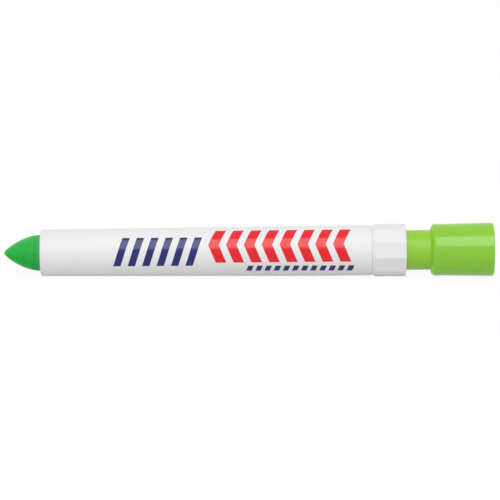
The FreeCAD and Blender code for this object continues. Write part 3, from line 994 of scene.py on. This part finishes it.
class MARKER_OT_barrel(Operator):
    """Builds the white barrel with its bore, key grooves and snap groove"""

    bl_idname = "marker.barrel"
    bl_label = "Barrel"

    def execute(self, context):
        settings = context.scene.marker_settings.barrel
        front_x = BARREL_LOW.x
        rear_x = BARREL_HIGH.x
        ease = settings.edge_ease
        bore = settings.bore_radius
        seat = settings.knob_seat_radius
        groove = settings.snap_groove_radius
        seat_x = rear_x - settings.knob_seat_length
        groove_rear = rear_x - settings.snap_groove_inset
        groove_front = groove_rear - settings.snap_groove_width
        outside = eased([
            (front_x, bore, ease),
            (front_x, BARREL_FRONT_RADIUS, ease),
            (front_x + settings.cap_seat_length, BARREL_FRONT_RADIUS),
            (rear_x - settings.rear_straight_length, BARREL_REAR_RADIUS),
            (rear_x, BARREL_REAR_RADIUS, settings.rear_edge_ease),
            (rear_x, seat, settings.rear_edge_ease),
            (groove_rear, seat),
            (groove_rear, groove),
            (groove_front, groove),
            (groove_front, seat),
            (seat_x, seat),
            (seat_x, bore),
        ], closed=True)
        key_x = front_x + settings.key_inset
        keyed = bore_with_keys(settings, bore)
        stations = [*outside[:-1], (seat_x, keyed), (key_x, keyed), (key_x, bore)]
        barrel = turned("barrel_tube", stations, round_angles(key_angles(settings)), closed=True)
        plastic = moulded_plastic(
            "barrel_white", settings.colour, settings.shade, settings.roughness,
            grain_depth=OUTER_GRAIN_DEPTH, marks=0.12,
            shine={"Subsurface Weight": 0.06, "Subsurface Scale": 0.6 * MM},
        )
        finished(barrel, plastic, "barrel", "barrel_white", "barrel")
        return {"FINISHED"}


def grip_reach(settings, inset):
    """Radius of the grip's rounded polygon, set in by a distance, as a function of the angle."""
    half_turn = math.pi / settings.side_count
    flat = KNOB_CORNER_RADIUS * math.cos(half_turn) - inset
    ease = settings.corner_ease
    corner = (flat - ease) / math.cos(half_turn)
    flat_half = (flat - ease) * math.tan(half_turn)

    def reach(angle):
        off = abs(angle % (2 * half_turn) - half_turn)
        if flat * math.tan(off) <= flat_half:
            return flat / math.cos(off)
        lean = half_turn - off
        return corner * math.cos(lean) + math.sqrt(ease**2 - (corner * math.sin(lean)) ** 2)
    return reach


def grip_angles(settings):
    """Angles that catch the grip's rounded corners, and the square hole's."""
    half_turn = math.pi / settings.side_count
    flat = KNOB_CORNER_RADIUS * math.cos(half_turn)
    flat_half = (flat - settings.corner_ease) * math.tan(half_turn)
    rounding = half_turn - math.atan(flat_half / flat)
    corners = [2 * half_turn * i for i in range(settings.side_count)]
    squares = [math.pi / 4 + math.pi / 2 * i for i in range(4)]
    rounded = [corner + rounding * share for corner in corners for share in CORNER_SHARES]
    return rounded + squares


class MARKER_OT_knob(Operator):
    """Builds the ten-sided twist knob with its spigot, hub and rear socket"""

    bl_idname = "marker.knob"
    bl_label = "Twist Knob"

    def execute(self, context):
        settings = context.scene.marker_settings.knob
        front_x = KNOB_LOW.x
        rear_x = KNOB_HIGH.x
        grip_x = rear_x - settings.grip_length
        spigot = settings.spigot_radius
        bead_x = front_x + settings.bead_place
        bead_half = settings.bead_width / 2
        square = settings.square_half_width
        hollow_x = rear_x - settings.socket_depth

        def square_hole(angle):
            return square / max(abs(math.cos(angle)), abs(math.sin(angle)))

        def front_slope(along):
            """The polygon trimmed by the cone of the front edge, with a soft join."""
            cone = settings.lead_radius + along * settings.lead_rise / settings.lead_length
            plain = grip_reach(settings, 0)

            def reach(angle):
                gap = plain(angle) - cone
                return (plain(angle) + cone - math.sqrt(gap**2 + settings.lead_softness**2)) / 2
            return reach

        spigot_front = eased([
            (front_x, square),
            (front_x, spigot, settings.spigot_ease),
            (bead_x - bead_half, spigot),
            (bead_x, spigot + settings.bead_height, settings.bead_ease),
            (bead_x + bead_half, spigot),
            (grip_x - settings.bearing_length, spigot),
            (grip_x - settings.bearing_length, settings.bearing_radius),
            (grip_x, settings.bearing_radius),
        ])
        stations = [
            (front_x + settings.square_depth, 0),
            (front_x + settings.square_depth, square_hole),
            (front_x, square_hole),
            *spigot_front[1:],
        ]
        for i in range(LEAD_STEPS + 1):
            along = settings.lead_length * LEAD_OVERRUN * i / LEAD_STEPS
            stations.append((grip_x + along, front_slope(along)))
        ease = settings.rear_ease
        stations.append((rear_x - ease - SUPPORT, grip_reach(settings, 0)))
        for i in range(REAR_STEPS + 1):
            turn = math.pi / 2 * i / REAR_STEPS
            inset = ease * (1 - math.cos(turn))
            stations.append((rear_x - ease + ease * math.sin(turn), grip_reach(settings, inset)))
        rear_face = KNOB_CORNER_RADIUS * math.cos(math.pi / settings.side_count) - ease - SUPPORT
        stations += eased([
            (rear_x, rear_face),
            (rear_x, settings.socket_radius, settings.socket_ease),
            (hollow_x, settings.socket_radius),
            (hollow_x, settings.core_radius, settings.core_ease),
            (front_x + settings.front_wall, settings.core_radius),
            (front_x + settings.front_wall, settings.hub_radius),
            (front_x + settings.hub_length, settings.hub_radius, settings.core_ease),
            (front_x + settings.hub_length, 0),
        ])
        knob = turned("knob_grip", stations, round_angles(grip_angles(settings)))
        plastic = moulded_plastic(
            "knob_white", settings.colour, settings.shade, settings.roughness,
            grain_depth=OUTER_GRAIN_DEPTH, marks=0.10,
            shine={"Subsurface Weight": 0.06, "Subsurface Scale": 0.6 * MM},
        )
        finished(knob, plastic, "knob", "knob_white", "twist_knob")
        return {"FINISHED"}


class MARKER_OT_cap(Operator):
    """Builds the stepped green cap"""

    bl_idname = "marker.cap"
    bl_label = "Cap"

    def execute(self, context):
        settings = context.scene.marker_settings.cap
        front_x = CAP_LOW.x
        rim_x = CAP_HIGH.x
        neck_x = front_x + settings.nose_length
        skirt_x = neck_x + settings.shoulder_length
        rise_x = neck_x + settings.rise_inset
        neck = settings.neck_radius
        nose_bore = neck - settings.nose_wall
        seat_x = skirt_x + settings.shoulder_wall
        grip_x = seat_x + CAP_GRIP_LENGTH
        mouth = CAP_BORE_RADIUS + settings.mouth_relief
        stations = eased([
            (front_x, 0),
            (front_x, neck, settings.nose_ease),
            (rise_x, neck, settings.neck_ease),
            (rise_x + settings.rise_length, settings.skirt_radius, settings.shoulder_ease),
            (skirt_x + settings.skirt_straight_length, settings.skirt_radius),
            (rim_x, CAP_RIM_RADIUS, settings.rim_ease),
            (rim_x, mouth, settings.rim_ease),
            (grip_x, mouth),
            (grip_x, CAP_BORE_RADIUS),
            (seat_x, CAP_BORE_RADIUS),
            (neck_x + settings.shoulder_wall, nose_bore),
            (front_x + settings.end_wall, nose_bore, settings.end_ease),
            (front_x + settings.end_wall, 0),
        ])
        cap = turned("cap_shell", stations, round_angles())
        plastic = moulded_plastic(
            "cap_green", settings.colour, settings.shade, settings.roughness,
            grain_depth=CAP_GRAIN_DEPTH, marks=0.14,
            shine={
                "Subsurface Weight": 0.5, "Subsurface Scale": 2.0 * MM,
                "Subsurface Radius": (0.1, 1.0, 0.1), "Specular IOR Level": 0.42,
            },
            # The nose gets painted light, a paler green, and is made rougher where the socket rubs
            # it
            rubbed=(neck_x, skirt_x, settings.rubbed, settings.rubbed_dullness),
        )
        finished(cap, plastic, "cap", "cap_green", "cap")
        return {"FINISHED"}


class MARKER_OT_paint(Operator):
    """Builds the stick of solid paint with its pointed, slightly uneven tip"""

    bl_idname = "marker.paint"
    bl_label = "Paint Stick"

    def execute(self, context):
        settings = context.scene.marker_settings.paint
        tip_x = STICK_LOW.x
        rear_x = STICK_HIGH.x
        radius = STICK_RADIUS
        depth = settings.nose_depth
        edge = settings.nose_edge_radius
        nose_bend = (depth**2 + edge**2) / depth / 2
        nose = Vector((tip_x + depth, edge))
        flank_end = Vector((tip_x + settings.flank_length, settings.flank_end_radius))
        collar_x = flank_end.x + settings.collar_length
        tail_x = rear_x - settings.tail_length
        outline = [
            Vector((tip_x, 0)),
            *arc_points(Vector((tip_x, 0)), nose, nose_bend, NOSE_STEPS),
            nose,
            *arc_points(nose, flank_end, settings.flank_bend_radius, FLANK_STEPS),
        ]
        collar_end = Vector((collar_x, radius))
        offsets = [settings.line_offset + side * settings.line_half_width for side in (-1, 0, 1)]
        before, floor, after = [
            flank_end.lerp(collar_end, offset / settings.collar_length) for offset in offsets
        ]
        collar = [flank_end, before, floor - Vector((0, settings.line_depth)), after]
        collar += [after.lerp(collar_end, i / COLLAR_STEPS) for i in range(1, COLLAR_STEPS + 1)]

        def waxy(x, plain):
            """Radius with shallow hollows, which fade out inside the barrel."""
            fade = min(1.0, max(0.0, (collar_x - x) / settings.collar_length * HOLLOW_FADE))
            fade *= min(1.0, plain / radius * HOLLOW_FADE)

            def reach(angle):
                place = Vector((x, plain * math.cos(angle), plain * math.sin(angle)))
                place /= settings.hollow_size
                hollow = HOLLOW_SHARE * noise.noise(place)
                dimple = DIMPLE_SHARE * noise.noise(place * DIMPLE_RATIO + DIMPLE_SHIFT)
                return plain - settings.unevenness * fade * (HOLLOW_MEAN + hollow + dimple)
            return reach

        stations = [outline[0]]
        stations += [(place.x, waxy(place.x, place.y)) for place in [*outline[1:], *collar]]
        stations += [
            (tail_x, radius),
            (tail_x, settings.tail_radius),
            (rear_x, settings.tail_radius),
            (rear_x, settings.hole_radius),
            (tip_x + settings.solid_tip_length, settings.hole_radius),
            (tip_x + settings.solid_tip_length, 0),
        ]
        stick = turned("paint_bullet", stations, round_angles())
        paint = wax_paint("paint_green", settings)
        finished(stick, paint, "stick", "paint_green", "paint_stick")
        return {"FINISHED"}


class MARKER_OT_inside(Operator):
    """Gives the stick carrier and the lead screw their plain moulded finish"""

    bl_idname = "marker.inside"
    bl_label = "Inner Pieces"

    def execute(self, context):
        settings = context.scene.marker_settings.inside
        shine = {"Subsurface Weight": 0.1, "Subsurface Scale": 0.8 * MM}
        carrier = moulded_plastic(
            "carrier_white", settings.carrier_colour, settings.carrier_shade,
            settings.carrier_roughness, grain_depth=CARRIER_GRAIN_DEPTH, marks=0.08, shine=shine,
        )
        screw = moulded_plastic(
            "screw_white", settings.screw_colour, settings.screw_shade,
            settings.screw_roughness, grain_depth=SCREW_GRAIN_DEPTH, marks=0.12, shine=shine,
        )
        dress_node("stick_carrier", carrier)
        dress_node("lead_screw", screw)
        return {"FINISHED"}


PRINT_SIZES = [
    ("Bar Width", 2.0 * MM),
    ("Bar Height", 9.0 * MM),
    ("Start", 0.0),
    ("Pitch", 4.0 * MM),
    ("Slant", 0.0),
    ("Point", 0.0),
    ("Middle Angle", 0.0),
    ("Front Radius", BARREL_FRONT_RADIUS),
    ("Taper Start", 0.0),
    ("Taper Slope", 0.0),
    ("Axis Height", AXIS_HEIGHT),
    ("Sink", 0.01 * MM),
    ("Film", 0.01 * MM),
]


def print_row_tree():
    """Row of bars or chevrons, wrapped round the barrel and given the thickness of ink."""
    tree = bpy.data.node_groups.new("print_row", "GeometryNodeTree")
    tree.interface.new_socket("Count", in_out="INPUT", socket_type="NodeSocketInt")
    for label, default in PRINT_SIZES:
        socket = tree.interface.new_socket(label, in_out="INPUT", socket_type="NodeSocketFloat")
        socket.default_value = default
    tree.interface.new_socket("Ink", in_out="INPUT", socket_type="NodeSocketMaterial")
    tree.interface.new_socket("Print", in_out="OUTPUT", socket_type="NodeSocketGeometry")
    sizes = put(tree, "NodeGroupInput").outputs
    place = put(tree, "GeometryNodeInputPosition").outputs[0]
    parts = put(tree, "ShaderNodeSeparateXYZ", {0: place}).outputs

    blank = put(tree, "GeometryNodeMeshGrid", {
        "Size X": sizes["Bar Width"], "Size Y": sizes["Bar Height"],
        "Vertices X": 4, "Vertices Y": 25,
    })
    lean = maths(tree, "MULTIPLY", parts["Y"], sizes["Slant"])
    fold = maths(tree, "MULTIPLY", maths(tree, "ABSOLUTE", parts["Y"]), sizes["Point"])
    shifted = put(tree, "ShaderNodeCombineXYZ", {"X": maths(tree, "ADD", lean, fold)})
    shaped = put(tree, "GeometryNodeSetPosition", {
        "Geometry": blank.outputs["Mesh"], "Offset": shifted.outputs[0],
    })
    first = put(tree, "ShaderNodeCombineXYZ", {"X": sizes["Start"]})
    step = put(tree, "ShaderNodeCombineXYZ", {"X": sizes["Pitch"]})
    line = put(tree, "GeometryNodeMeshLine", {
        "Count": sizes["Count"], "Start Location": first.outputs[0], "Offset": step.outputs[0],
    })
    copies = put(tree, "GeometryNodeInstanceOnPoints", {
        "Points": line.outputs[0], "Instance": shaped.outputs[0],
    })
    row = put(tree, "GeometryNodeRealizeInstances", {0: copies.outputs[0]})

    beyond = maths(tree, "MAXIMUM", maths(tree, "SUBTRACT", parts["X"], sizes["Taper Start"]), 0.0)
    widening = maths(tree, "MULTIPLY", beyond, sizes["Taper Slope"])
    radius = maths(tree, "ADD", sizes["Front Radius"], widening)
    angle = maths(tree, "ADD", sizes["Middle Angle"], maths(tree, "DIVIDE", parts["Y"], radius))
    under = maths(tree, "SUBTRACT", radius, sizes["Sink"])
    away = maths(tree, "MULTIPLY", under, maths(tree, "COSINE", angle))
    up = maths(tree, "MULTIPLY", under, maths(tree, "SINE", angle))
    wrapped_place = put(tree, "ShaderNodeCombineXYZ", {
        "X": parts["X"],
        "Y": maths(tree, "MULTIPLY", away, -1.0),
        "Z": maths(tree, "ADD", up, sizes["Axis Height"]),
    })
    wrapped = put(tree, "GeometryNodeSetPosition", {
        "Geometry": row.outputs[0], "Position": wrapped_place.outputs[0],
    })
    thickness = maths(tree, "ADD", sizes["Sink"], sizes["Film"])
    raised = put(tree, "GeometryNodeExtrudeMesh", {
        "Mesh": wrapped.outputs[0], "Offset Scale": thickness, "Individual": False,
    }, mode="FACES")
    base = put(tree, "GeometryNodeFlipFaces", {0: wrapped.outputs[0]})
    both = put(tree, "GeometryNodeJoinGeometry")
    tree.links.new(raised.outputs["Mesh"], both.inputs[0])
    tree.links.new(base.outputs[0], both.inputs[0])
    merged = put(tree, "GeometryNodeMergeByDistance", {0: both.outputs[0], "Distance": SAME_PLACE})
    inked = put(tree, "GeometryNodeSetMaterial", {
        "Geometry": merged.outputs[0], "Material": sizes["Ink"],
    })
    put(tree, "NodeGroupOutput", {0: inked.outputs[0]})
    return tree


def print_row(name, ink, count, **sizes):
    """One printed row as a plain mesh that rides on the barrel."""
    tree = bpy.data.node_groups.get("print_row") or print_row_tree()
    settings = bpy.context.scene.marker_settings
    taper_start = BARREL_LOW.x + settings.barrel.cap_seat_length
    taper_end = BARREL_HIGH.x - settings.barrel.rear_straight_length
    values = {
        "Count": count, "Ink": ink,
        "Taper Start": taper_start,
        "Taper Slope": (BARREL_REAR_RADIUS - BARREL_FRONT_RADIUS) / (taper_end - taper_start),
        "Sink": settings.ink.sink, "Film": settings.ink.film,
        **{key.replace("_", " ").title(): value for key, value in sizes.items()},
    }
    seed = placed(name + "_seed", bpy.data.meshes.new(name + "_seed"))
    modifier = seed.modifiers.new("Print", "NODES")
    modifier.node_group = tree
    for item in tree.interface.items_tree:
        if item.in_out == "INPUT" and item.name in values:
            modifier[item.identifier] = values[item.name]
    evaluated = seed.evaluated_get(bpy.context.evaluated_depsgraph_get())
    mesh = bpy.data.meshes.new_from_object(evaluated)
    mesh.name = name
    seed.modifiers.remove(modifier)
    bpy.data.objects.remove(seed)
    mesh.shade_smooth()
    mesh.set_sharp_from_angle(angle=CREASE_ANGLE)
    row = placed(name, mesh)
    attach(row, "barrel")
    return row


class MARKER_OT_print(Operator):
    """Prints plain navy and red bands on the barrel"""

    bl_idname = "marker.print"
    bl_label = "Printed Bands"

    def execute(self, context):
        settings = context.scene.marker_settings.ink
        red = printed_ink("ink_red", settings.red)
        navy = printed_ink("ink_navy", settings.navy)
        print_row(
            "print_bars", navy, settings.bar_count,
            start=-39.6 * MM, pitch=4.5 * MM, bar_width=2.3 * MM, bar_height=9.4 * MM,
            slant=0.32, middle_angle=math.radians(18),
        )
        print_row(
            "print_chevrons", red, settings.chevron_count,
            start=-10.9 * MM, pitch=5.55 * MM, bar_width=3.3 * MM, bar_height=11.3 * MM,
            point=0.42, middle_angle=math.radians(33),
        )
        print_row(
            "print_dashes", navy, settings.dash_count,
            start=0.4 * MM, pitch=2.85 * MM, bar_width=1.7 * MM, bar_height=2.2 * MM,
            slant=0.32, middle_angle=math.radians(-26),
        )
        return {"FINISHED"}


def aimed(place, target, roll=0.0):
    """Matrix of a camera or light at a place that looks at a target."""
    facing = (target - place).to_track_quat("-Z", "Y").to_matrix().to_4x4()
    return Matrix.Translation(place) @ facing @ Matrix.Rotation(roll, 4, "Z")


def seen_directly(tree):
    """Mask of the rays from the camera, from reflections and through clear things."""
    rays = put(tree, "ShaderNodeLightPath").outputs
    seen = maths(tree, "MAXIMUM", rays["Is Camera Ray"], rays["Is Glossy Ray"])
    return maths(tree, "MAXIMUM", seen, rays["Is Transmission Ray"])


def pale_floor(settings):
    """Floor, white to the camera and in reflections, with a faint shadow, and paper to the rest."""
    material = bpy.data.materials.new("floor_white")
    material.use_nodes = True
    tree = material.node_tree
    tree.nodes.clear()
    grain = effect(tree, moulded_grain, grain_scale=900.0, cloud_scale=4.0)
    tone = mixed(tree, grain.outputs["Cloud"], PAPER, PAPER_SHADE)
    paper = put(tree, "ShaderNodeBsdfDiffuse", {"Color": tone})
    glow = put(tree, "ShaderNodeEmission", {"Color": WHITE, "Strength": settings.floor_glow})
    share = maths(tree, "MULTIPLY", seen_directly(tree), settings.floor_glow_share)
    both = put(tree, "ShaderNodeMixShader", {0: share, 1: paper.outputs[0], 2: glow.outputs[0]})
    put(tree, "ShaderNodeOutputMaterial", {"Surface": both.outputs[0]})
    return material


def studio_world(strength):
    """Even light from all round, which the camera and reflections see as white."""
    world = bpy.data.worlds.new("studio")
    world.use_nodes = True
    tree = world.node_tree
    tree.nodes.clear()
    power = between(tree, seen_directly(tree), strength, 1.0)
    sky = put(tree, "ShaderNodeBackground", {"Color": WHITE, "Strength": power})
    put(tree, "ShaderNodeOutputWorld", {"Surface": sky.outputs[0]})
    return world


def add_camera(settings, target):
    """Camera at the photograph's angle."""
    rise = settings.view_elevation
    away = Vector((0, -math.cos(rise), math.sin(rise)))
    lens = bpy.data.cameras.new("camera")
    lens.sensor_width = 36.0
    lens.lens = lens.sensor_width * settings.view_distance / settings.view_width
    lens.clip_start = 10 * MM
    camera = placed("camera", lens)
    stand = target + away * settings.view_distance
    camera.matrix_world = aimed(stand, target, -settings.view_roll)
    return camera


def add_softbox(settings, target):
    """Large soft light above and in front of the marker."""
    lift = settings.key_elevation
    softbox = bpy.data.lights.new("softbox", "AREA")
    softbox.shape = "RECTANGLE"
    softbox.size = settings.key_width
    softbox.size_y = settings.key_height
    softbox.energy = settings.key_power
    stand = target + settings.key_distance * Vector((0, -math.cos(lift), math.sin(lift)))
    placed("softbox", softbox).matrix_world = aimed(stand, target)


def add_floor(settings):
    """Floor that touches the barrel's front edge and the cap's rim."""
    half = settings.floor_size / 2
    fall = (AXIS_HEIGHT - BARREL_FRONT_RADIUS) / (CAP_HIGH.x - BARREL_LOW.x)
    corners = [(-half, -half), (half, -half), (half, half), (-half, half)]
    mesh = bpy.data.meshes.new("floor")
    mesh.from_pydata([(x, y, (CAP_HIGH.x - x) * fall) for x, y in corners], [], [(0, 1, 2, 3)])
    mesh.materials.append(pale_floor(settings))
    floor = placed("floor", mesh)


class MARKER_OT_stage(Operator):
    """Sets up the camera, the softbox, the even fill light and the pale floor"""

    bl_idname = "marker.stage"
    bl_label = "Stage"

    def execute(self, context):
        settings = context.scene.marker_settings.stage
        scene = context.scene
        scene.world = studio_world(settings.fill_strength)
        scene.view_settings.view_transform = "Standard"
        rise = settings.view_elevation
        target = Vector((settings.view_shift, 0, AXIS_HEIGHT))
        target += settings.view_raise * Vector((0, math.sin(rise), math.cos(rise)))
        scene.camera = add_camera(settings, target)
        add_softbox(settings, target)
        add_floor(settings)
        return {"FINISHED"}


class MARKER_PT_panel(Panel):
    """The steps that build the marker"""

    bl_idname = "MARKER_PT_panel"
    bl_label = "Solid Paint Marker"
    bl_space_type = "VIEW_3D"
    bl_region_type = "UI"
    bl_category = "Paint Marker"

    def draw(self, context):
        for step in STEPS:
            self.layout.operator(step.bl_idname, text=step.bl_label)


STEPS = (
    MARKER_OT_barrel, MARKER_OT_knob, MARKER_OT_cap, MARKER_OT_paint,
    MARKER_OT_inside, MARKER_OT_print, MARKER_OT_stage,
)
GROUPS = (
    BarrelSettings, KnobSettings, CapSettings, PaintSettings, InsideSettings,
    PrintSettings, StageSettings, MarkerSettings,
)
CLASSES = (*GROUPS, *STEPS, MARKER_PT_panel)


def register():
    for item in CLASSES:
        bpy.utils.register_class(item)
    bpy.types.Scene.marker_settings = PointerProperty(
        name="Paint Marker", description="Sizes and colours of the marker", type=MarkerSettings,
    )


def unregister():
    del bpy.types.Scene.marker_settings
    for item in reversed(CLASSES):
        bpy.utils.unregister_class(item)


def main():
    """Builds everything in order."""
    register()
    bpy.ops.marker.barrel()
    bpy.ops.marker.knob()
    bpy.ops.marker.cap()
    bpy.ops.marker.paint()
    bpy.ops.marker.inside()
    bpy.ops.marker.print()
    bpy.ops.marker.stage()


if __name__ == "__main__":
    main()
